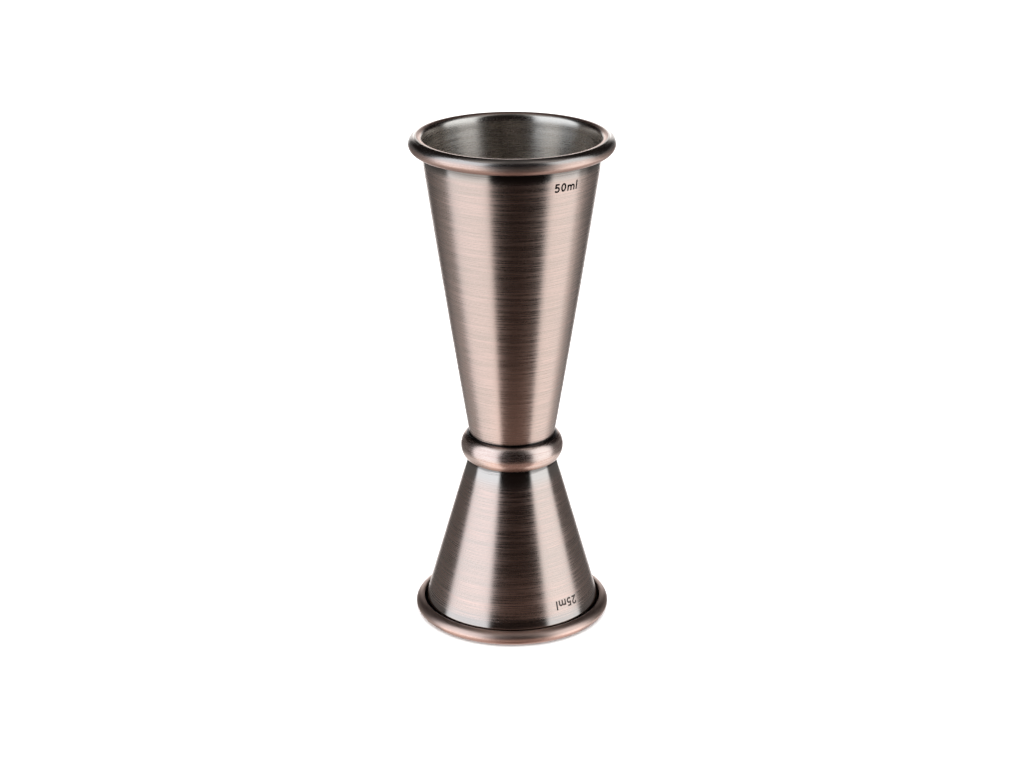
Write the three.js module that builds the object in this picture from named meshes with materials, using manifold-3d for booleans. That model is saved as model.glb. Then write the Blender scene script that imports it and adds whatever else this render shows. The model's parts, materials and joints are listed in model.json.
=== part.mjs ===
// Double-ended bar jigger, 50 ml over 25 ml. Millimetres, +Z up, origin on the axis at the
// resting plane of the lower rim. Two drawn sheet-metal cups stand floor to floor, brazed
// together, and a half-round ring caught between their cones covers the joint.
import * as THREE from 'three';
import { mergeVertices } from 'three/addons/utils/BufferGeometryUtils.js';
import Module from 'manifold-3d';

const wasm = await Module();
wasm.setup();

// ---- Driving dimensions ----
const HEIGHT = 116;              // lower rim to upper rim
const SHEET = 0.7;               // thickness of both cups' sheet
const JOINT_HEIGHT = 43.2;       // outside face of the lower cup's floor
const BRAZE_GAP = 0.3;           // braze between the two floors
const CORNER_RADIUS = 1.5;       // outside radius between a cup's floor and its wall
const RIM_LAND = 0.35;           // flat dressed on the crown of each rolled rim
const RIM_NOSE = 1.5;            // radial half-width of the bend at the mouth's edge
const RIM_NOSE_DROP = 1.4;       // height of that bend
const NOSE_START = 147;          // degrees round that bend where the flare runs into it
const NOSE_LEAN = 0.4;           // outward run of the flare there, per unit of height
const FIT_CLEARANCE = 0.02;      // between the ring, the braze and the cups
const SIDES = 48;                // facets round every turned surface

// Each cup in its own frame: mouth up, the floor's outside face at z = 0.
const UPPER_CUP = {
  name: 'upper_cup',
  depth: HEIGHT - JOINT_HEIGHT - BRAZE_GAP,
  footRadius: 9.75,              // outside of the wall, extended to the floor's plane
  shoulderRadius: 20.38,         // outside of the wall, level with the underside of the bead
  bulge: 0.18,                   // crowning of the wall half-way up
  bead: { radius: 21.45, halfWidth: 1.83, halfHeight: 1.84 },
  lipRadius: 21.3,               // where the curl ends, on its underside
  mark: { text: '50ml', azimuth: 36.9, below: 7.65 },
};
const LOWER_CUP = {
  name: 'lower_cup',
  depth: JOINT_HEIGHT,
  footRadius: 9.0,
  shoulderRadius: 20.37,
  bulge: 0,
  bead: { radius: 20.84, halfWidth: 2.08, halfHeight: 1.69 },
  lipRadius: 21,
  mark: { text: '25ml', azimuth: 180 - 41.8, below: 7.4 },
};
const RING = {
  centreHeight: 41.79,
  halfHeight: 3.2,
  crownRadius: 11.98,            // outermost radius
  rootRadius: 9.67,              // where the half-ellipse would close
  boreRadius: 10.05,
  footTrim: 5,                   // degrees of the ellipse left off below the seat
};
const BRAZE = {
  lowerFillet: 50,               // degrees of the lower cup's corner that the braze covers
  upperFillet: 35,               // degrees of the upper cup's corner that it covers
  lowerRunOut: 0.3,              // drop of its surface from the lower corner to the ring
  upperRunOut: 0.1,              // and from its upper face
};
const MARK = {
  height: 2.05,                  // of the figures
  xHeight: 1.45,                 // of the letter m
  pen: 0.4,                      // stroke width
  depth: 0.2,
  spacing: 0.36,
  proud: 0.5,                    // how far the cutting strokes stand out of the wall
};

// ---- Materials ----
const antiqueCopper = new THREE.MeshStandardMaterial({ color: 0x8a6a60, roughness: 0.38, metalness: 1 });
const satinCopper = new THREE.MeshStandardMaterial({ color: 0xb08475, roughness: 0.32, metalness: 1 });
const brazeMetal = new THREE.MeshStandardMaterial({ color: 0x9c8b62, roughness: 0.5, metalness: 1 });

// ---- Profiles, as lists of Vector2(radius, height) ----

/** Points on an ellipse about (radius, height), from one angle to another in degrees. */
function ellipseArc(radius, height, semiRadius, semiHeight, from, to, steps) {
  return Array.from({ length: steps + 1 }, (_, i) => {
    const angle = THREE.MathUtils.degToRad(THREE.MathUtils.lerp(from, to, i / steps));
    return new THREE.Vector2(radius + semiRadius * Math.cos(angle), height + semiHeight * Math.sin(angle));
  });
}

/** The profile moved sideways by a distance, to the right of its direction of travel. */
function offset(profile, distance) {
  return profile.map((point, i) => {
    const before = profile[Math.max(i - 1, 0)];
    const after = profile[Math.min(i + 1, profile.length - 1)];
    const incoming = point.clone().sub(i > 0 ? before : after).multiplyScalar(i > 0 ? 1 : -1).normalize();
    const outgoing = after.clone().sub(point).normalize();
    if (outgoing.lengthSq() === 0) outgoing.copy(incoming);
    const along = incoming.clone().add(outgoing).normalize();
    const mitre = distance / along.dot(incoming);
    return new THREE.Vector2(point.x + along.y * mitre, point.y - along.x * mitre);
  });
}

/** The cup's outside wall radius at a height above the floor's outside face. */
function wallRadius(cup, height) {
  const share = height / (cup.depth - 2 * cup.bead.halfHeight);
  const straight = THREE.MathUtils.lerp(cup.footRadius, cup.shoulderRadius, share);
  return straight + cup.bulge * 4 * share * (1 - share);
}

/** How far the cup's wall leans out from the axis, in radians. */
function wallLean(cup) {
  return Math.atan((cup.shoulderRadius - cup.footRadius) / (cup.depth - 2 * cup.bead.halfHeight));
}

/** Radius at which the floor's flat ends and its rounded corner begins. */
function floorFlatRadius(cup) {
  return cup.footRadius - CORNER_RADIUS * Math.tan(Math.PI / 4 - wallLean(cup) / 2);
}

/** The drinking side of the sheet: floor, corner, wall, flare, nose and outside of the curl. */
function cupSurface(cup) {
  const { radius, halfWidth, halfHeight } = cup.bead;
  const lean = wallLean(cup);
  const wallInset = SHEET / Math.cos(lean);
  const corner = ellipseArc(floorFlatRadius(cup), CORNER_RADIUS, CORNER_RADIUS - SHEET,
    CORNER_RADIUS - SHEET, -90, -THREE.MathUtils.radToDeg(lean), 3);

  const flareStart = cup.depth - 2 * halfHeight;
  const wall = [0.25, 0.5, 0.75].map((share) => {
    const height = THREE.MathUtils.lerp(CORNER_RADIUS, flareStart, share);
    return new THREE.Vector2(wallRadius(cup, height) - wallInset, height);
  });

  // The bend from the wall into the curl: a flare, then a rounder nose up to the crown.
  const nose = ellipseArc(radius, cup.depth - RIM_NOSE_DROP, RIM_NOSE, RIM_NOSE_DROP, NOSE_START, 90, 3);
  const flareFoot = new THREE.Vector2(wallRadius(cup, flareStart) - wallInset, flareStart);
  const pull = (nose[0].y - flareStart) / 3;
  const flare = new THREE.CubicBezierCurve(
    flareFoot,
    new THREE.Vector2(flareFoot.x + pull * Math.tan(lean), flareStart + pull),
    new THREE.Vector2(nose[0].x - pull * NOSE_LEAN, nose[0].y - pull),
    nose[0],
  ).getPoints(3).slice(0, -1);

  // The outside of the curl starts where its ellipse passes through the dressed land.
  const landAngle = THREE.MathUtils.radToDeg(Math.acos(RIM_LAND / halfWidth));
  const beadHeight = cup.depth - halfHeight * Math.sin(THREE.MathUtils.degToRad(landAngle));
  const lipAngle = -THREE.MathUtils.radToDeg(Math.acos((cup.lipRadius - radius) / halfWidth));
  const curl = ellipseArc(radius, beadHeight, halfWidth, halfHeight, landAngle, lipAngle, 9);

  return [new THREE.Vector2(0, SHEET), ...corner, ...wall, ...flare, ...nose, ...curl];
}

/** A solid turned about Z from a profile that starts and ends on the axis or closes on itself. */
function turned(profile) {
  const geometry = new THREE.LatheGeometry(profile, SIDES);
  geometry.rotateX(Math.PI / 2);
  return geometry;
}

// ---- Capacity marks: pen strokes in the plane of the figures, x to the right, y up ----

/** Ribbon of the pen's width along a path, as the outline of a shape. */
function ribbon(path) {
  const line = path.getPoints(6);
  const right = offset(line, MARK.pen / 2);
  const left = offset(line, -MARK.pen / 2);
  return new THREE.Shape([...right, ...left.reverse()]);
}

const inkTop = MARK.height - MARK.pen / 2;
const inkFoot = MARK.pen / 2;

const GLYPHS = {
  0: () => {
    const width = 1.35;
    const [x, y] = [width / 2, MARK.height / 2];
    const ring = new THREE.Shape().absellipse(x, y, x, y, 0, 2 * Math.PI);
    ring.holes.push(new THREE.Path().absellipse(x, y, x - MARK.pen, y - MARK.pen, 0, 2 * Math.PI));
    return { width, shapes: [ring] };
  },
  2: () => {
    const path = new THREE.Path().moveTo(0.16, 1.38);
    path.absellipse(0.66, 1.4, 0.5, 0.5, Math.PI, -0.2 * Math.PI, true);
    path.lineTo(0.18, inkFoot).lineTo(1.3, inkFoot);
    return { width: 1.3, shapes: [ribbon(path)] };
  },
  5: () => {
    const flag = new THREE.Path().moveTo(1.18, inkTop).lineTo(0.36, inkTop).lineTo(0.26, 0.94);
    const bowl = new THREE.Path().absellipse(0.63, 0.67, 0.52, 0.52, 0.8 * Math.PI, -0.84 * Math.PI, true);
    return { width: 1.3, shapes: [ribbon(flag), ribbon(bowl)] };
  },
  m: () => {
    const span = 0.86;
    const stem = new THREE.Path().moveTo(inkFoot, 0).lineTo(inkFoot, MARK.xHeight);
    const arches = [0, 1].map((step) => {
      const foot = inkFoot + step * span;
      const spring = MARK.xHeight - MARK.pen / 2 - span / 2;
      const arch = new THREE.Path().moveTo(foot, spring);
      return arch.absarc(foot + span / 2, spring, span / 2, Math.PI, 0, true).lineTo(foot + span, 0);
    });
    return { width: 2 * span + MARK.pen, shapes: [ribbon(stem), ...arches.map(ribbon)] };
  },
  l: () => {
    const path = new THREE.Path().moveTo(inkFoot, 0).lineTo(inkFoot, MARK.height + 0.1);
    return { width: MARK.pen, shapes: [ribbon(path)] };
  },
};

/** A mark's strokes as solids that reach from above the cup's wall to MARK.depth into it. */
function markSolids(cup) {
  const glyphs = [...cup.mark.text].map((letter) => GLYPHS[letter]());
  const length = glyphs.reduce((sum, glyph) => sum + glyph.width, MARK.spacing * (glyphs.length - 1));
  const lean = wallLean(cup);
  const markHeight = cup.depth - cup.mark.below;
  const markRadius = wallRadius(cup, markHeight);
  const markAzimuth = THREE.MathUtils.degToRad(cup.mark.azimuth);
  const cut = { depth: MARK.depth + MARK.proud, bevelEnabled: false, curveSegments: 8 };
  const solids = [];
  let pen = -length / 2;
  for (const { width, shapes } of glyphs) {
    for (const shape of shapes) {
      const geometry = new THREE.ExtrudeGeometry(shape, cut);
      geometry.translate(pen, -MARK.height / 2, -MARK.depth);
      const position = geometry.attributes.position;
      for (let i = 0; i < position.count; i++) {
        const height = markHeight + position.getY(i) * Math.cos(lean) - position.getZ(i) * Math.sin(lean);
        const surface = wallRadius(cup, markHeight + position.getY(i) * Math.cos(lean));
        const radius = surface + position.getZ(i) * Math.cos(lean);
        const azimuth = markAzimuth + position.getX(i) / markRadius;
        position.setXYZ(i, radius * Math.sin(azimuth), -radius * Math.cos(azimuth), height);
      }
      solids.push(geometry);
    }
    pen += width + MARK.spacing;
  }
  return solids;
}

// ---- Booleans ----

function toManifold(geometry) {
  const bare = geometry.clone();
  bare.deleteAttribute('normal');
  bare.deleteAttribute('uv');
  const merged = mergeVertices(bare, 1e-4);
  const corners = Array.from(merged.index.array);
  const triangles = [];
  for (let i = 0; i < corners.length; i += 3) {
    const [a, b, c] = corners.slice(i, i + 3);
    if (a !== b && b !== c && c !== a) triangles.push(a, b, c);
  }
  return new wasm.Manifold(new wasm.Mesh({
    numProp: 3,
    vertProperties: new Float32Array(merged.attributes.position.array),
    triVerts: new Uint32Array(triangles),
  }));
}

function fromManifold(solid) {
  const { vertProperties, triVerts } = solid.getMesh();
  const geometry = new THREE.BufferGeometry();
  geometry.setAttribute('position', new THREE.BufferAttribute(new Float32Array(vertProperties), 3));
  geometry.setIndex(new THREE.BufferAttribute(new Uint32Array(triVerts), 1));
  geometry.computeVertexNormals();
  return geometry;
}

// ---- Sub-parts ----

/** A drawn cup with its rim rolled outwards into an open curl, and its capacity engraved. */
function makeCup(cup) {
  const inside = cupSurface(cup);
  const outside = offset(inside, SHEET);
  outside[0].x = 0;
  let solid = toManifold(turned([...outside, ...inside.reverse()]));
  for (const stroke of markSolids(cup)) solid = solid.subtract(toManifold(stroke));
  const mesh = new THREE.Mesh(fromManifold(solid), antiqueCopper);
  mesh.name = cup.name;
  return mesh;
}

/** Outside radius of the lower cup at a height above the resting plane. */
function lowerConeRadius(height) {
  return wallRadius(LOWER_CUP, JOINT_HEIGHT - height);
}

/** The half-round ring, bored to pass the floors and seated on the lower cone. */
function makeRing() {
  const { centreHeight, halfHeight, crownRadius, rootRadius, boreRadius, footTrim } = RING;
  const bulge = crownRadius - rootRadius;
  const topAngle = THREE.MathUtils.radToDeg(Math.acos((boreRadius - rootRadius) / bulge));
  const crown = ellipseArc(rootRadius, centreHeight, bulge, halfHeight, footTrim - topAngle, topAngle, 14);
  const slope = Math.tan(wallLean(LOWER_CUP));
  const foot = crown[0];
  const seatFoot = new THREE.Vector2(lowerConeRadius(foot.y) + FIT_CLEARANCE, foot.y);
  const seatTop = new THREE.Vector2(boreRadius, foot.y + (seatFoot.x - boreRadius) / slope);
  const mesh = new THREE.Mesh(turned([...crown, seatTop, seatFoot, crown[0].clone()]), satinCopper);
  mesh.name = 'waist_ring';
  return mesh;
}

/** Braze between the floors, with the fillet that fills the groove behind the ring. */
function makeBraze() {
  const underside = JOINT_HEIGHT + FIT_CLEARANCE;
  const top = JOINT_HEIGHT + BRAZE_GAP - FIT_CLEARANCE;
  const filletRadius = CORNER_RADIUS + FIT_CLEARANCE;
  const edge = RING.boreRadius - FIT_CLEARANCE;
  const lowerFlat = floorFlatRadius(LOWER_CUP);
  const upperFlat = floorFlatRadius(UPPER_CUP);
  const lowerCorner = ellipseArc(lowerFlat, underside - filletRadius, filletRadius, filletRadius,
    90, 90 - BRAZE.lowerFillet, 4);
  const upperCorner = ellipseArc(upperFlat, top + filletRadius, filletRadius, filletRadius,
    BRAZE.upperFillet - 90, -90, 4);
  const profile = [
    new THREE.Vector2(0, underside),
    ...lowerCorner,
    new THREE.Vector2(edge, lowerCorner.at(-1).y - BRAZE.lowerRunOut),
    new THREE.Vector2(edge, top - BRAZE.upperRunOut),
    ...upperCorner,
    new THREE.Vector2(0, top),
  ];
  const mesh = new THREE.Mesh(turned(profile), brazeMetal);
  mesh.name = 'floor_braze';
  return mesh;
}

// ---- Assembly ----

const jigger = new THREE.Group();

const upper = makeCup(UPPER_CUP);
upper.position.z = JOINT_HEIGHT + BRAZE_GAP;

const lower = makeCup(LOWER_CUP);
lower.position.z = JOINT_HEIGHT;
lower.rotation.x = Math.PI;

jigger.add(upper, lower, makeRing(), makeBraze());

export default jigger;
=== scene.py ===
"""Bar jigger: fine turned meshes and antique-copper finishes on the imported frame."""

import json
import math

import bmesh
import bpy
from mathutils import Matrix, Vector

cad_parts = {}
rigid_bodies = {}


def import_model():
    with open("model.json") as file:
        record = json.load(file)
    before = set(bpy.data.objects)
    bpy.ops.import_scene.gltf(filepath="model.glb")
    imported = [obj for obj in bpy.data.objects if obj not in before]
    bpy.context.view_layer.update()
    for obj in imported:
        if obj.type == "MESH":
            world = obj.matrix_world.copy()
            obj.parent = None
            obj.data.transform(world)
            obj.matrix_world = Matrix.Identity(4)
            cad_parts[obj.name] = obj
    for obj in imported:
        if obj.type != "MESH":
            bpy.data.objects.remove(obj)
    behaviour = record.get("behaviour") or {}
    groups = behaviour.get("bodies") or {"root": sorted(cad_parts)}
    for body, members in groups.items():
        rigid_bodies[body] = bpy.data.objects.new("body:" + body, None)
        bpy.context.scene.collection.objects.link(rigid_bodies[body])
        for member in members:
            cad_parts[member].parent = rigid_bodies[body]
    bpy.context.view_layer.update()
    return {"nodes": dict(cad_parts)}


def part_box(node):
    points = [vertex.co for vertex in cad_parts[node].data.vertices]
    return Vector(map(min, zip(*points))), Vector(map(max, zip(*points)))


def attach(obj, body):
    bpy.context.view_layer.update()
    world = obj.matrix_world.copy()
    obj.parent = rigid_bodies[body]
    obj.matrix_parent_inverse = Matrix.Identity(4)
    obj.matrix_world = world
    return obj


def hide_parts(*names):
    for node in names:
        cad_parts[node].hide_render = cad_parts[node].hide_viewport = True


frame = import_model()

MM = 0.001
SIDES = 256  # facets round every turned surface

# ---- Sheet and rims, as the frame's cups are made ----
SHEET = 0.7 * MM
CORNER_RADIUS = 1.5 * MM  # outside, between a cup's floor and its wall
RIM_LAND = 0.35 * MM  # flat dressed on the crown of each rim
RIM_NOSE = 1.5 * MM  # radial half-width of the bend at the mouth's edge
RIM_NOSE_DROP = 1.4 * MM
LIP_ROUND = 0.16 * MM  # rounding of the curl's cut edge

UPPER_LOW, UPPER_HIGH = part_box("upper_cup")
LOWER_LOW, LOWER_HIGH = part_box("lower_cup")
RING_LOW, RING_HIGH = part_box("waist_ring")


class Cup:
    """One cup in its own frame: mouth up, the floor's outside face at height 0."""

    def __init__(self, name, floor, mouth, rim, foot, shoulder, bulge, half_width, half_height, lip, mark):
        self.name = name
        self.floor = floor
        self.up = 1 if mouth > floor else -1
        self.depth = abs(mouth - floor)
        self.foot = foot * MM
        self.shoulder = shoulder * MM
        self.bulge = bulge * MM
        self.half_width = half_width * MM
        self.half_height = half_height * MM
        self.bead = rim - self.half_width
        self.lip = lip * MM
        self.mark = mark
        self.wall_top = self.depth - 2 * self.half_height
        self.lean = math.atan((self.shoulder - self.foot) / self.wall_top)
        self.flat = self.foot - CORNER_RADIUS * math.tan(math.pi / 4 - self.lean / 2)

    def wall_radius(self, height):
        share = height / self.wall_top
        straight = self.foot + (self.shoulder - self.foot) * share
        return straight + self.bulge * 4 * share * (1 - share)

    def to_row(self):
        """The move from the cup's frame to the row's: a half turn about X for a cup that hangs."""
        turn = Matrix.Rotation(0 if self.up > 0 else math.pi, 4, "X")
        return Matrix.Translation((0, 0, self.floor)) @ turn


UPPER = Cup("upper_cup", UPPER_LOW.z, UPPER_HIGH.z, UPPER_HIGH.x, 9.75, 20.38, 0.18, 1.83, 1.84, 21.3,
            {"text": "50ml", "azimuth": 36.9, "below": 7.65})
LOWER = Cup("lower_cup", LOWER_HIGH.z, LOWER_LOW.z, LOWER_HIGH.x, 9.0, 20.37, 0.0, 2.08, 1.69, 21.0,
            {"text": "25ml", "azimuth": 180 - 41.8, "below": 7.4})


# ---- Profiles: lists of (radius, height) ----


def ellipse_arc(radius, height, semi_radius, semi_height, start, end, steps):
    points = []
    for i in range(steps + 1):
        angle = math.radians(start + (end - start) * i / steps)
        points.append((radius + semi_radius * math.cos(angle), height + semi_height * math.sin(angle)))
    return points


def bezier(p0, p1, p2, p3, steps):
    points = []
    for i in range(steps):
        t = i / steps
        w = ((1 - t) ** 3, 3 * t * (1 - t) ** 2, 3 * t * t * (1 - t), t ** 3)
        points.append(tuple(sum(a * p[k] for a, p in zip(w, (p0, p1, p2, p3))) for k in range(2)))
    return points


def offset(line, distance, closed=False):
    """The line moved sideways, to the right of its direction of travel."""
    moved = []
    count = len(line)
    for i, point in enumerate(line):
        before = line[i - 1] if i > 0 or closed else None
        after = line[(i + 1) % count] if i < count - 1 or closed else None
        into = Vector(point) - Vector(before) if before else None
        out = Vector(after) - Vector(point) if after else None
        into = into or out
        out = out or into
        into = into.normalized()
        along = (into + out.normalized()).normalized()
        mitre = distance / along.dot(into)
        moved.append((point[0] + along.y * mitre, point[1] - along.x * mitre))
    return moved


def cup_sides(cup):
    """The sheet's two sides, from the axis to the cut edge of the curl, and where the curl begins."""
    wall_inset = SHEET / math.cos(cup.lean)
    bend = CORNER_RADIUS - SHEET
    corner = ellipse_arc(cup.flat, CORNER_RADIUS, bend, bend, -90, -math.degrees(cup.lean), 14)
    wall_steps = 24
    wall = []
    for i in range(1, wall_steps):
        height = CORNER_RADIUS + (cup.wall_top - CORNER_RADIUS) * i / wall_steps
        wall.append((cup.wall_radius(height) - wall_inset, height))
    nose = ellipse_arc(cup.bead, cup.depth - RIM_NOSE_DROP, RIM_NOSE, RIM_NOSE_DROP, 147, 90, 12)
    flare_foot = (cup.wall_radius(cup.wall_top) - wall_inset, cup.wall_top)
    pull = (nose[0][1] - cup.wall_top) / 3
    flare = bezier(
        flare_foot,
        (flare_foot[0] + pull * math.tan(cup.lean), flare_foot[1] + pull),
        (nose[0][0] - pull * 0.4, nose[0][1] - pull),
        nose[0],
        12,
    )
    land = math.degrees(math.acos(RIM_LAND / cup.half_width))
    centre = cup.depth - cup.half_height * math.sin(math.radians(land))
    lip = -math.degrees(math.acos((cup.lip - cup.bead) / cup.half_width))
    curl = ellipse_arc(cup.bead, centre, cup.half_width, cup.half_height, land, lip, 56)
    inside = [(0.0, SHEET)] + corner + wall + flare + nose
    drinking_side = inside + curl
    hidden_side = offset(drinking_side, SHEET)
    hidden_side[0] = (0.0, hidden_side[0][1])
    return drinking_side, hidden_side, len(inside)


def rounded_edge(end, back, other_end, other_back):
    """Points that round the two corners of a cut edge, between the ends of its two sides."""
    points = []
    for corner, away, toward in ((end, back, other_end), (other_end, other_back, end)):
        c = Vector(corner)
        a = c + (Vector(away) - c).normalized() * LIP_ROUND
        b = c + (Vector(toward) - c).normalized() * LIP_ROUND
        arc = [a * (1 - t) ** 2 + c * 2 * t * (1 - t) + b * t * t for t in (0, 0.25, 0.5, 0.75, 1)]
        points.append([tuple(p) for p in arc])
    return points[0] + points[1][::-1]


# ---- Meshes ----


def turned(name, profile, slots, closed, sides=SIDES):
    """A mesh turned about Z. slots gives each profile edge's material slot; closed joins end to start."""
    bm = bmesh.new()
    rings = []
    for radius, height in profile:
        if radius < 1e-9:
            rings.append([bm.verts.new((0, 0, height))])
            continue
        ring = []
        for i in range(sides):
            a = 2 * math.pi * i / sides
            ring.append(bm.verts.new((radius * math.sin(a), -radius * math.cos(a), height)))
        rings.append(ring)
    pairs = list(zip(rings, rings[1:], slots))
    if closed:
        pairs.append((rings[-1], rings[0], slots[-1]))
    for low, high, slot in pairs:
        for i in range(sides):
            j = (i + 1) % sides
            corners = [low[i % len(low)], low[j % len(low)], high[j % len(high)], high[i % len(high)]]
            face = bm.faces.new(list(dict.fromkeys(corners)))
            face.material_index = slot
            face.smooth = True
    bmesh.ops.recalc_face_normals(bm, faces=bm.faces)
    mesh = bpy.data.meshes.new(name)
    bm.to_mesh(mesh)
    bm.free()
    piece = bpy.data.objects.new(name, mesh)
    bpy.context.scene.collection.objects.link(piece)
    return piece


# ---- Capacity marks: pen strokes in the plane of the figures, x to the right, y up, in mm ----
MARK_HEIGHT = 2.05
MARK_X_HEIGHT = 1.45
MARK_PEN = 0.4
MARK_DEPTH = 0.2
MARK_SPACING = 0.36
MARK_PROUD = 0.3  # how far the cutting strokes stand out of the wall


def glyph(letter):
    """(width, strokes) of a figure; a stroke is (points, closed)."""
    half_pen = MARK_PEN / 2
    top = MARK_HEIGHT - half_pen
    if letter == "0":
        width = 1.35
        loop = ellipse_arc(width / 2, MARK_HEIGHT / 2, width / 2 - half_pen, top / 2 - half_pen / 2, 0, 360, 32)
        return width, [(loop[:-1], True)]
    if letter == "2":
        bow = ellipse_arc(0.66, 1.4, 0.5, 0.5, 180, -36, 14)
        return 1.3, [([(0.16, 1.38)] + bow[1:] + [(0.18, half_pen), (1.3, half_pen)], False)]
    if letter == "5":
        flag = [(1.18, top), (0.36, top), (0.26, 0.94)]
        bowl = ellipse_arc(0.63, 0.67, 0.52, 0.52, 144, -151, 20)
        return 1.3, [(flag, False), (bowl, False)]
    if letter == "m":
        span = 0.86
        spring = MARK_X_HEIGHT - half_pen - span / 2
        strokes = [([(half_pen, 0), (half_pen, MARK_X_HEIGHT)], False)]
        for foot in (half_pen, half_pen + span):
            arch = ellipse_arc(foot + span / 2, spring, span / 2, span / 2, 180, 0, 12)
            strokes.append((arch + [(foot + span, 0)], False))
        return 2 * span + MARK_PEN, strokes
    return MARK_PEN, [([(half_pen, 0), (half_pen, MARK_HEIGHT + 0.1)], False)]


def stroke_solid(cup, line, closed, start, material):
    """A stroke as a closed solid bent onto the cup's wall, sunk MARK_DEPTH into it."""
    right = offset(line, MARK_PEN / 2, closed)
    left = offset(line, -MARK_PEN / 2, closed)
    base = cup.depth - cup.mark["below"] * MM
    bm = bmesh.new()

    def bent(point, lift):
        along = (point[1] - MARK_HEIGHT / 2) * MM * math.cos(cup.lean)
        radius = cup.wall_radius(base + along) + lift * MM * math.cos(cup.lean)
        height = base + along - lift * MM * math.sin(cup.lean)
        a = math.radians(cup.mark["azimuth"]) + (start + point[0]) * MM / cup.wall_radius(base)
        return bm.verts.new((radius * math.sin(a), -radius * math.cos(a), height))

    rows = [
        [bent(r, -MARK_DEPTH), bent(l, -MARK_DEPTH), bent(l, MARK_PROUD), bent(r, MARK_PROUD)]
        for r, l in zip(right, left)
    ]
    links = list(zip(rows, rows[1:]))
    if closed:
        links.append((rows[-1], rows[0]))
    else:
        bm.faces.new(rows[0])
        bm.faces.new(rows[-1])
    for a, b in links:
        for i in range(4):
            j = (i + 1) % 4
            bm.faces.new((a[i], a[j], b[j], b[i]))
    bmesh.ops.recalc_face_normals(bm, faces=bm.faces)
    mesh = bpy.data.meshes.new("stroke")
    bm.to_mesh(mesh)
    bm.free()
    mesh.materials.append(material)
    return bpy.data.objects.new("stroke", mesh)


def engrave(piece, cup, material):
    """Cuts the cup's capacity mark into its wall; the cut faces take the mark's material."""
    figures = [glyph(letter) for letter in cup.mark["text"]]
    pen = -(sum(width for width, _ in figures) + MARK_SPACING * (len(figures) - 1)) / 2
    cutters = bpy.data.collections.new("cutters")
    bpy.context.scene.collection.children.link(cutters)
    for width, strokes in figures:
        for line, closed in strokes:
            cutters.objects.link(stroke_solid(cup, line, closed, pen, material))
        pen += width + MARK_SPACING
    cut = piece.modifiers.new("mark", "BOOLEAN")
    cut.operation = "DIFFERENCE"
    cut.operand_type = "COLLECTION"
    cut.collection = cutters
    cut.solver = "EXACT"
    cut.material_mode = "TRANSFER"
    bpy.context.view_layer.update()
    evaluated = piece.evaluated_get(bpy.context.evaluated_depsgraph_get())
    engraved = bpy.data.meshes.new_from_object(evaluated)
    piece.modifiers.clear()
    plain = piece.data
    piece.data = engraved
    bpy.data.meshes.remove(plain)
    for cutter in list(cutters.objects):
        bpy.data.objects.remove(cutter)
    bpy.data.collections.remove(cutters)


def true_wall_normals(piece, cup, wall_slot):
    """Gives the wall's faces the normals of the cone itself, so that the cut leaves no shading marks."""
    mesh = piece.data
    normals = [corner.vector.copy() for corner in mesh.corner_normals]
    step = 0.01 * MM
    for face in mesh.polygons:
        if face.material_index != wall_slot:
            continue
        for loop in face.loop_indices:
            x, y, height = mesh.vertices[mesh.loops[loop].vertex_index].co
            radius = math.hypot(x, y)
            if not CORNER_RADIUS < height < cup.wall_top - 0.5 * MM:
                continue
            slope = (cup.wall_radius(height + step) - cup.wall_radius(height - step)) / (2 * step)
            normals[loop] = Vector((x / radius, y / radius, -slope)).normalized()
    mesh.normals_split_custom_set(normals)


# ---- Materials ----


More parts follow.
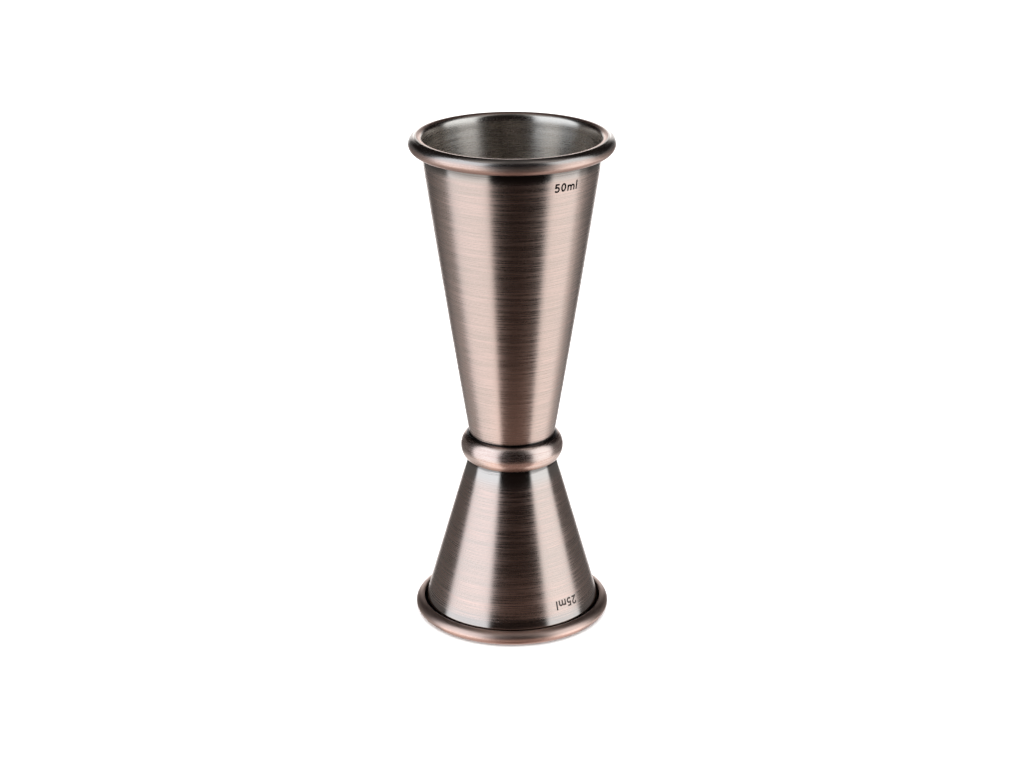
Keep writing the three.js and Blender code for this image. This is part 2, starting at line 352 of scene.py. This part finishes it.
class Nodes:
    """A short way to write a material's node graph."""

    def __init__(self, name):
        self.material = bpy.data.materials.new(name)
        self.material.use_nodes = True
        self.tree = self.material.node_tree
        self.shader = next(n for n in self.tree.nodes if n.type == "BSDF_PRINCIPLED")

    def link(self, value, socket):
        if isinstance(value, bpy.types.NodeSocket):
            self.tree.links.new(value, socket)
        else:
            socket.default_value = value

    def add(self, kind, **properties):
        node = self.tree.nodes.new(kind)
        for key, value in properties.items():
            setattr(node, key, value)
        return node

    def math(self, operation, *values, clamp=False):
        node = self.add("ShaderNodeMath", operation=operation, use_clamp=clamp)
        for value, socket in zip(values, node.inputs):
            self.link(value, socket)
        return node.outputs[0]

    def ramp(self, value, low, high, to_low=0.0, to_high=1.0):
        """A smooth step: to_low at low and beyond, to_high at high and beyond."""
        if low > high:
            low, high, to_low, to_high = high, low, to_high, to_low
        node = self.add("ShaderNodeMapRange", interpolation_type="SMOOTHSTEP")
        for socket, v in zip(node.inputs, (value, low, high, to_low, to_high)):
            self.link(v, socket)
        return node.outputs[0]

    def mix(self, factor, a, b):
        node = self.add("ShaderNodeMix", data_type="RGBA")
        self.link(factor, node.inputs[0])
        self.link(a, node.inputs[6])
        self.link(b, node.inputs[7])
        return node.outputs[2]

    def blend(self, factor, a, b):
        node = self.add("ShaderNodeMix", data_type="FLOAT")
        self.link(factor, node.inputs[0])
        self.link(a, node.inputs[2])
        self.link(b, node.inputs[3])
        return node.outputs[0]

    def weighted(self, *parts):
        """The sum of (value, weight) parts."""
        total = 0.0
        for value, weight in parts:
            total = self.math("MULTIPLY_ADD", value, weight, total)
        return total

    def turned_coordinates(self):
        """(unit vector round the axis, height, radius), the last two in millimetres."""
        place = self.add("ShaderNodeTexCoord").outputs["Object"]
        split = self.add("ShaderNodeSeparateXYZ")
        self.link(place, split.inputs[0])
        flat = self.add("ShaderNodeCombineXYZ")
        self.link(split.outputs[0], flat.inputs[0])
        self.link(split.outputs[1], flat.inputs[1])
        length = self.add("ShaderNodeVectorMath", operation="LENGTH")
        self.link(flat.outputs[0], length.inputs[0])
        unit = self.add("ShaderNodeVectorMath", operation="NORMALIZE")
        self.link(flat.outputs[0], unit.inputs[0])
        height = self.math("MULTIPLY", split.outputs[2], 1000.0)
        radius = self.math("MULTIPLY", length.outputs["Value"], 1000.0)
        return unit.outputs[0], height, radius

    def streaks(self, round_axis, height, radius, per_turn, per_mm, seed, detail=2.0):
        """Noise drawn out along the turning direction: fine across it, long along it."""
        ring = self.add("ShaderNodeVectorMath", operation="SCALE")
        self.link(round_axis, ring.inputs[0])
        self.link(per_turn, ring.inputs["Scale"])
        lift = self.add("ShaderNodeCombineXYZ")
        self.link(self.math("MULTIPLY_ADD", height, per_mm, seed), lift.inputs[2])
        spot = self.add("ShaderNodeVectorMath", operation="ADD")
        self.link(ring.outputs[0], spot.inputs[0])
        self.link(lift.outputs[0], spot.inputs[1])
        noise = self.add("ShaderNodeTexNoise", noise_dimensions="4D")
        self.link(spot.outputs[0], noise.inputs["Vector"])
        self.link(self.math("MULTIPLY", radius, per_mm), noise.inputs["W"])
        noise.inputs["Scale"].default_value = 1.0
        noise.inputs["Detail"].default_value = detail
        noise.inputs["Roughness"].default_value = 0.55
        return noise.outputs[0]

    def turned_finish(self, anisotropy):
        """Highlights drawn out across the brush lines, which run round the axis."""
        tangent = self.add("ShaderNodeTangent", direction_type="RADIAL", axis="Z")
        self.link(tangent.outputs[0], self.shader.inputs["Tangent"])
        self.link(anisotropy, self.shader.inputs["Anisotropic"])
        self.shader.inputs["Anisotropic Rotation"].default_value = 0.25

    def bump(self, height, distance, strength=1.0):
        node = self.add("ShaderNodeBump")
        self.link(height, node.inputs["Height"])
        node.inputs["Distance"].default_value = distance
        node.inputs["Strength"].default_value = strength
        self.link(node.outputs[0], self.shader.inputs["Normal"])


COPPER = (0.62, 0.45, 0.39, 1)
PATINA = (0.46, 0.365, 0.318, 1)
# Painted shade: a grey plate colour, darkened, under the upper rim and beside the ring.
SHADED_GREY_PLATE = (0.46, 0.405, 0.37, 1)
# Patina and painted shade: the dark line in the creases under the upper rim and on each side of the ring.
CREVICE_PATINA_AND_SHADE = (0.20, 0.175, 0.16, 1)
# Grey plate and painted shade: the lower cup darker and greyer just above its rim.
FOOT_GREY_AND_SHADE = (0.39, 0.34, 0.31, 1)
# Patina and painted shadow in the groove along the ring's upper edge.
GROOVE_PATINA_AND_SHADE = (0.06, 0.05, 0.048, 1)
RIM_COPPER = (0.66, 0.48, 0.41, 1)
RIM_BROWN = (0.50, 0.345, 0.29, 1)
# Painted shade: the darker brown at the foot of each rim.
RIM_FOOT_SHADE = (0.32, 0.20, 0.165, 1)
# Steel at the lip of each rim, painted lighter than the cup's steel as a highlight.
LIP_STEEL_HIGHLIGHT = (0.80, 0.73, 0.68, 1)
LIP_COPPER = (0.88, 0.64, 0.55, 1)
STEEL = (0.58, 0.525, 0.475, 1)
STEEL_DARK = (0.50, 0.45, 0.405, 1)


def brushed_copper(name, grey_and_shade_zones):
    """Antique copper, brushed round the axis. Each grey-and-shade zone is (height where the painted shade
    is full, height where the brushed copper begins, the greyer, darker colour painted there), in mm."""
    n = Nodes(name)
    turn, height, radius = n.turned_coordinates()
    hairs = n.streaks(turn, height, radius, 1.1, 8.0, 3.0, detail=2.0)
    bands = n.streaks(turn, height, radius, 0.8, 2.2, 17.0)
    broad = n.streaks(turn, height, radius, 0.35, 0.14, 41.0, detail=1.0)
    grain = n.streaks(turn, height, radius, 60.0, 6.0, 53.0, detail=1.0)
    lines = n.weighted((hairs, 0.6), (bands, 0.2), (broad, 0.08), (grain, 0.12))
    worn = n.ramp(lines, 0.44, 0.60)

    ragged = n.math("MULTIPLY_ADD", n.math("SUBTRACT", lines, 0.5), 5.0, height)
    grey_and_shade = 0.0
    colour = n.mix(worn, PATINA, COPPER)
    # Painted shade: each zone greys and darkens the copper towards a rim or the ring.
    for shaded_height, copper_height, tone in grey_and_shade_zones:
        zone = n.ramp(ragged, shaded_height, copper_height, 1.0, 0.0)
        colour = n.mix(zone, colour, tone)
        grey_and_shade = n.math("MAXIMUM", grey_and_shade, zone)
    n.link(colour, n.shader.inputs["Base Color"])
    n.shader.inputs["Metallic"].default_value = 1.0
    rough = n.blend(worn, 0.26, 0.385)
    n.link(n.blend(grey_and_shade, rough, 0.14), n.shader.inputs["Roughness"])
    n.turned_finish(n.blend(grey_and_shade, 0.8, 0.3))
    n.bump(hairs, 0.008 * MM, 0.4)
    return n.material


def satin_copper(name, foot, top):
    """The ring: satin copper, browner at its foot as painted shade, and near black in the groove along its
    upper edge as patina and painted shadow.
    """
    n = Nodes(name)
    turn, height, radius = n.turned_coordinates()
    hairs = n.streaks(turn, height, radius, 1.6, 5.0, 5.0)
    bands = n.streaks(turn, height, radius, 1.2, 1.0, 29.0)
    grain = n.streaks(turn, height, radius, 36.0, 4.0, 59.0, detail=1.0)
    lines = n.weighted((hairs, 0.4), (bands, 0.4), (grain, 0.2))
    ragged = n.math("MULTIPLY_ADD", n.math("SUBTRACT", lines, 0.5), 1.0, height)
    # Patina and painted shadow: the groove along the ring's upper edge is painted near black.
    groove = n.ramp(ragged, top - 0.5, top - 0.1)
    worn = n.mix(n.ramp(lines, 0.42, 0.58), (0.54, 0.39, 0.34, 1), (0.66, 0.52, 0.46, 1))
    # Painted shade: the ring's lower part is browner towards its foot.
    worn = n.mix(n.ramp(ragged, foot + 2.4, foot + 0.4), worn, RIM_BROWN)
    n.link(n.mix(groove, worn, GROOVE_PATINA_AND_SHADE), n.shader.inputs["Base Color"])
    n.shader.inputs["Metallic"].default_value = 1.0
    n.link(n.blend(n.ramp(lines, 0.4, 0.6), 0.25, 0.31), n.shader.inputs["Roughness"])
    n.turned_finish(0.3)
    n.bump(hairs, 0.006 * MM, 0.3)
    return n.material


def rim_finish(name, crown, crown_rough, lip, flank, foot):
    """A rolled rim: bright on the lip itself, its steel painted lighter as a highlight, smooth dark plate on
    its crown, satin copper on its flank and a darker brown at its foot as painted shade. lip, flank and foot
    are (height where the bright metal, crown or flank ends, height where the next begins), in mm."""
    n = Nodes(name)
    turn, height, radius = n.turned_coordinates()
    hairs = n.streaks(turn, height, radius, 1.8, 6.0, 11.0)
    bands = n.streaks(turn, height, radius, 1.5, 0.9, 37.0)
    grain = n.streaks(turn, height, radius, 70.0, 5.0, 61.0, detail=1.0)
    lines = n.weighted((hairs, 0.4), (bands, 0.4), (grain, 0.2))
    ragged = n.math("MULTIPLY_ADD", n.math("SUBTRACT", lines, 0.5), 1.5, height)
    copper = n.ramp(ragged, *flank)
    # Painted highlight: the lip's steel is lighter than the steel inside the cup.
    crown = n.mix(n.ramp(height, *lip), LIP_STEEL_HIGHLIGHT, crown)
    worn = n.mix(n.ramp(lines, 0.42, 0.58), RIM_BROWN, RIM_COPPER)
    # Painted shade: darker brown at the rim's foot.
    worn = n.mix(n.ramp(ragged, *foot), worn, RIM_FOOT_SHADE)
    n.link(n.mix(copper, crown, worn), n.shader.inputs["Base Color"])
    n.shader.inputs["Metallic"].default_value = 1.0
    smooth = n.blend(n.ramp(height, *lip), 0.14, crown_rough)
    n.link(n.blend(copper, smooth, 0.38), n.shader.inputs["Roughness"])
    n.turned_finish(0.2)
    n.bump(hairs, 0.006 * MM, 0.3)
    return n.material


def brushed_steel(name, *lips):
    """The drinking side: stainless steel, brushed round the axis, with a browned line just inside
    each lip. Each lip is (its height in mm, 1 or -1 for the cup being above or below it)."""
    n = Nodes(name)
    turn, height, radius = n.turned_coordinates()
    hairs = n.streaks(turn, height, radius, 1.2, 6.0, 7.0, detail=2.0)
    bands = n.streaks(turn, height, radius, 0.8, 1.8, 23.0)
    grain = n.streaks(turn, height, radius, 50.0, 6.0, 67.0, detail=1.0)
    lines = n.weighted((hairs, 0.5), (bands, 0.3), (grain, 0.2))
    scored = n.ramp(lines, 0.38, 0.62)
    brown = 0.0
    for mouth, inward in lips:
        line = n.ramp(n.math("MULTIPLY", n.math("SUBTRACT", height, mouth), inward), 0.4, 0.15)
        brown = n.math("MAXIMUM", brown, line)
    steel_tone = n.mix(scored, STEEL_DARK, STEEL)
    n.link(n.mix(brown, steel_tone, LIP_COPPER), n.shader.inputs["Base Color"])
    n.shader.inputs["Metallic"].default_value = 1.0
    rough = n.blend(scored, 0.24, 0.30)
    n.link(n.blend(brown, rough, 0.3), n.shader.inputs["Roughness"])
    n.turned_finish(n.blend(brown, 0.7, 0.0))
    n.bump(hairs, 0.008 * MM, 0.4)
    return n.material


def mark_fill(name, tone):
    """The dark floor and sides of an engraved figure: blackened for the 50 ml mark, painted shade in the
    unfilled cut of the 25 ml mark.
    """
    n = Nodes(name)
    turn, height, radius = n.turned_coordinates()
    fine = n.streaks(turn, height, radius, 30.0, 6.0, 13.0)
    dark = tuple(0.5 * c for c in tone[:3]) + (1,)
    n.link(n.mix(fine, dark, tone), n.shader.inputs["Base Color"])
    n.shader.inputs["Roughness"].default_value = 1.0
    n.shader.inputs["Specular IOR Level"].default_value = 0.0
    return n.material


def braze_metal(name):
    n = Nodes(name)
    turn, height, radius = n.turned_coordinates()
    grain = n.streaks(turn, height, radius, 14.0, 1.5, 19.0)
    n.link(n.mix(grain, (0.30, 0.25, 0.15, 1), (0.52, 0.44, 0.27, 1)), n.shader.inputs["Base Color"])
    n.shader.inputs["Metallic"].default_value = 1.0
    n.link(n.blend(grain, 0.4, 0.6), n.shader.inputs["Roughness"])
    n.bump(grain, 0.03 * MM)
    return n.material


# ---- Pieces ----
WALL_SLOT, INSIDE_SLOT, RIM_SLOT, MARK_SLOT = range(4)


def make_cup(cup, materials):
    drinking_side, hidden_side, curl_start = cup_sides(cup)
    edge = rounded_edge(drinking_side[-1], drinking_side[-2], hidden_side[-1], hidden_side[-2])
    profile = drinking_side[:-1] + edge + hidden_side[-2::-1]
    slots = [INSIDE_SLOT] * (curl_start - 1)
    slots += [RIM_SLOT] * (len(drinking_side) - 1 - curl_start + len(edge))
    slots += [WALL_SLOT] * (len(profile) - 1 - len(slots))
    piece = turned(cup.name + "_shell", profile, slots, closed=False)
    for material in materials:
        piece.data.materials.append(material)
    engrave(piece, cup, materials[MARK_SLOT])
    true_wall_normals(piece, cup, WALL_SLOT)
    piece.data.transform(cup.to_row())
    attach(piece, "root")
    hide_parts(cup.name)
    return piece


def make_ring(material):
    """The half-round ring, between the heights and to the radius of the frame's ring."""
    crown_radius = RING_HIGH.x
    root_radius, bore_radius = 9.67 * MM, 10.05 * MM
    half_height, centre = 3.2 * MM, 41.79 * MM
    bulge = crown_radius - root_radius
    top = math.degrees(math.acos((bore_radius - root_radius) / bulge))
    crown = ellipse_arc(root_radius, centre, bulge, half_height, 5 - top, top, 60)
    foot_radius, foot = crown[0]
    slope = math.tan(LOWER.lean)
    seat = LOWER.wall_radius(LOWER.floor - foot) + 0.02 * MM
    bore_foot = foot + (seat - bore_radius) / slope
    profile = crown + [(bore_radius, bore_foot), (seat, foot)]
    piece = turned("waist_ring_band", profile, [0] * len(profile), closed=True)
    piece.data.materials.append(material)
    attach(piece, "root")
    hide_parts("waist_ring")
    return piece


to_mm = 1 / MM
ring_foot, ring_top = RING_LOW.z * to_mm, RING_HIGH.z * to_mm
height_mm = UPPER_HIGH.z * to_mm

steel = brushed_steel("brushed_steel", (height_mm, -1), (0.0, 1))
upper_shell = make_cup(
    UPPER,
    [
        brushed_copper("upper_copper", [
            # Painted shade: dark just above the ring, grey and dark under the rim.
            (ring_top + 0.1, ring_top + 1.0, CREVICE_PATINA_AND_SHADE),
            (height_mm - 5.2, height_mm - 6.6, SHADED_GREY_PLATE),
            (height_mm - 3.8, height_mm - 6.2, CREVICE_PATINA_AND_SHADE),
        ]),
        steel,
        rim_finish(
            "upper_rim",
            (0.38, 0.335, 0.31, 1),
            0.24,
            (height_mm - 0.05, height_mm - 0.16),
            (height_mm - 0.9, height_mm - 1.8),
            (height_mm - 2.1, height_mm - 2.7),
        ),
        mark_fill("mark_black", (0.006, 0.005, 0.005, 1)),
    ],
)
lower_shell = make_cup(
    LOWER,
    [
        brushed_copper("lower_copper", [
            # Painted shade: grey and dark above the rim, grey below the ring, dark right under it.
            (3.8, 6.6, FOOT_GREY_AND_SHADE),
            (ring_foot - 1.4, ring_foot - 5.0, SHADED_GREY_PLATE),
            (ring_foot - 0.1, ring_foot - 0.9, CREVICE_PATINA_AND_SHADE),
        ]),
        steel,
        rim_finish("lower_rim", (0.52, 0.375, 0.32, 1), 0.36, (0.05, 0.16), (2.6, 1.7), (1.8, 1.1)),
        # Painted shade in the unfilled cut of the 25 ml mark.
        mark_fill("mark_recess_shade", (0.10, 0.085, 0.08, 1)),
    ],
)
ring = make_ring(satin_copper("ring_copper", ring_foot, ring_top))

braze = frame["nodes"]["floor_braze"]
braze.data.materials.clear()
braze.data.materials.append(braze_metal("braze"))


# ---- Floor, light and camera ----
WARM = (1.0, 0.7, 0.6)


def make_floor():
    bpy.ops.mesh.primitive_plane_add(size=12)
    floor = bpy.context.object
    floor.name = "floor"
    material = bpy.data.materials.new("floor")
    material.use_nodes = True
    shader = material.node_tree.nodes["Principled BSDF"]
    shader.inputs["Base Color"].default_value = (0.95, 0.95, 0.95, 1)
    shader.inputs["Roughness"].default_value = 1.0
    shader.inputs["Specular IOR Level"].default_value = 0.0
    floor.data.materials.append(material)
    floor.visible_glossy = False
    floor.visible_shadow = False
    return floor


def make_world():
    """White studio surroundings, which the metal doesn't mirror: it mirrors the panels."""
    world = bpy.data.worlds.new("studio")
    bpy.context.scene.world = world
    world.use_nodes = True
    background = world.node_tree.nodes["Background"]
    background.inputs["Color"].default_value = (1, 1, 1, 1)
    background.inputs["Strength"].default_value = 2.1
    world.cycles_visibility.glossy = False


class Dome:
    """The studio that the metal mirrors: a sphere of light, turned with the camera about Z."""

    RADIUS = 3.0
    SOFT = math.radians(4)  # half the width of every window's soft edge

    def __init__(self, aim):
        n = Nodes("studio_dome")
        self.nodes = n
        n.tree.nodes.remove(n.shader)
        unit = n.add("ShaderNodeVectorMath", operation="NORMALIZE")
        n.link(n.add("ShaderNodeTexCoord").outputs["Object"], unit.inputs[0])
        split = n.add("ShaderNodeSeparateXYZ")
        n.link(unit.outputs[0], split.inputs[0])
        self.elevation = n.math("ARCSINE", split.outputs[2])
        # Azimuth 0 is the camera's side, and grows towards the camera's right.
        self.azimuth = n.math("ARCTAN2", split.outputs[0], n.math("MULTIPLY", split.outputs[1], -1.0))
        self.total = None
        bpy.ops.mesh.primitive_uv_sphere_add(radius=self.RADIUS, segments=64, ring_count=32)
        self.piece = bpy.context.object
        self.piece.name = "studio_dome"
        self.piece.location.z = aim
        self.piece.data.materials.append(n.material)
        for ray in ("camera", "diffuse", "shadow", "transmission", "volume_scatter"):
            setattr(self.piece, "visible_" + ray, False)

    def rest(self, colour):
        self.total = colour + (1,)

    def window(self, azimuth, half_width, low, high, radiance, colour=(1, 1, 1)):
        """A soft-edged light, in degrees."""
        n = self.nodes
        away = n.math("SUBTRACT", self.azimuth, math.radians(azimuth))
        off = n.math("ABSOLUTE", n.math("WRAP", away, math.pi, -math.pi))
        half = math.radians(half_width)
        low, high = math.radians(low), math.radians(high)
        inside = n.math(
            "MULTIPLY",
            n.ramp(off, half + self.SOFT, half - self.SOFT),
            n.math(
                "MULTIPLY",
                n.ramp(self.elevation, low - self.SOFT, low + self.SOFT),
                n.ramp(self.elevation, high + self.SOFT, high - self.SOFT),
            ),
        )
        glow = n.add("ShaderNodeVectorMath", operation="MULTIPLY_ADD")
        n.link(tuple(radiance * c for c in colour), glow.inputs[0])
        n.link(inside, glow.inputs[1])
        n.link(self.total[:3] if isinstance(self.total, tuple) else self.total, glow.inputs[2])
        self.total = glow.outputs[0]

    def light_up(self):
        n = self.nodes
        emission = n.add("ShaderNodeEmission")
        n.link(self.total, emission.inputs["Color"])
        n.tree.links.new(emission.outputs[0], n.tree.nodes["Material Output"].inputs["Surface"])


def make_camera():
    height = UPPER_HIGH.z
    data = bpy.data.cameras.new("camera")
    data.sensor_width = 36
    data.lens = 78.995
    camera = bpy.data.objects.new("camera", data)
    bpy.context.scene.collection.objects.link(camera)
    camera.location = (0, -4.2122 * height, 2.0669 * height)
    camera.rotation_euler = (math.radians(90 - 20.549), 0, 0)
    bpy.context.scene.camera = camera
    return camera


def make_lights(camera):
    """The mirrored studio and the lit floor in front, on a rig that turns with the camera."""
    dome = Dome((UPPER_HIGH.z + LOWER_LOW.z) / 2)
    dome.rest((0.012, 0.008, 0.007))
    left_tint, right_tint = (0.91, 1.02, 1.13), (0.91, 1.0, 1.06)
    dome.window(-62.5, 32, -25, 55, 1.8, left_tint)
    dome.window(72.75, 25.75, -25, 49, 1.75, right_tint)
    dome.window(-62.5, 32, 55, 80, 0.45)
    dome.window(72.75, 25.75, 49, 80, 0.5)
    dome.window(-63, 31.5, -80, -25, 1.4)
    dome.window(86.5, 31.5, -80, -25, 1.4)
    dome.window(-130, 33, -80, -27, 0.75)
    dome.window(138, 20, -80, -27, 0.95)
    dome.window(-130, 33, -27, 8, 0.14)
    dome.window(131, 30, -27, 8, 0.15)
    dome.window(180, 21, -80, 16, 1.5)
    dome.window(0, 180, 60, 100, 0.12)
    dome.light_up()
    follow = dome.piece.constraints.new("COPY_ROTATION")
    follow.target = camera
    follow.use_x = follow.use_y = False

    glow_near, glow_far, glow_width = 0.016, 0.075, 0.1
    light = bpy.data.lights.new("front_floor", "AREA")
    light.shape = "RECTANGLE"
    light.size = glow_width
    light.size_y = glow_far - glow_near
    light.energy = 0.35 * math.pi * light.size * light.size_y
    light.color = WARM
    glow = bpy.data.objects.new("front_floor", light)
    bpy.context.scene.collection.objects.link(glow)
    glow.location = (0, -(glow_near + glow_far) / 2, 0.0005 - dome.piece.location.z)
    glow.rotation_euler = (math.pi, 0, 0)
    glow.visible_camera = glow.visible_diffuse = False
    glow.parent = dome.piece


make_floor()
make_world()
make_lights(make_camera())
bpy.context.scene.view_settings.view_transform = "Standard"
bpy.context.scene.view_settings.look = "None"
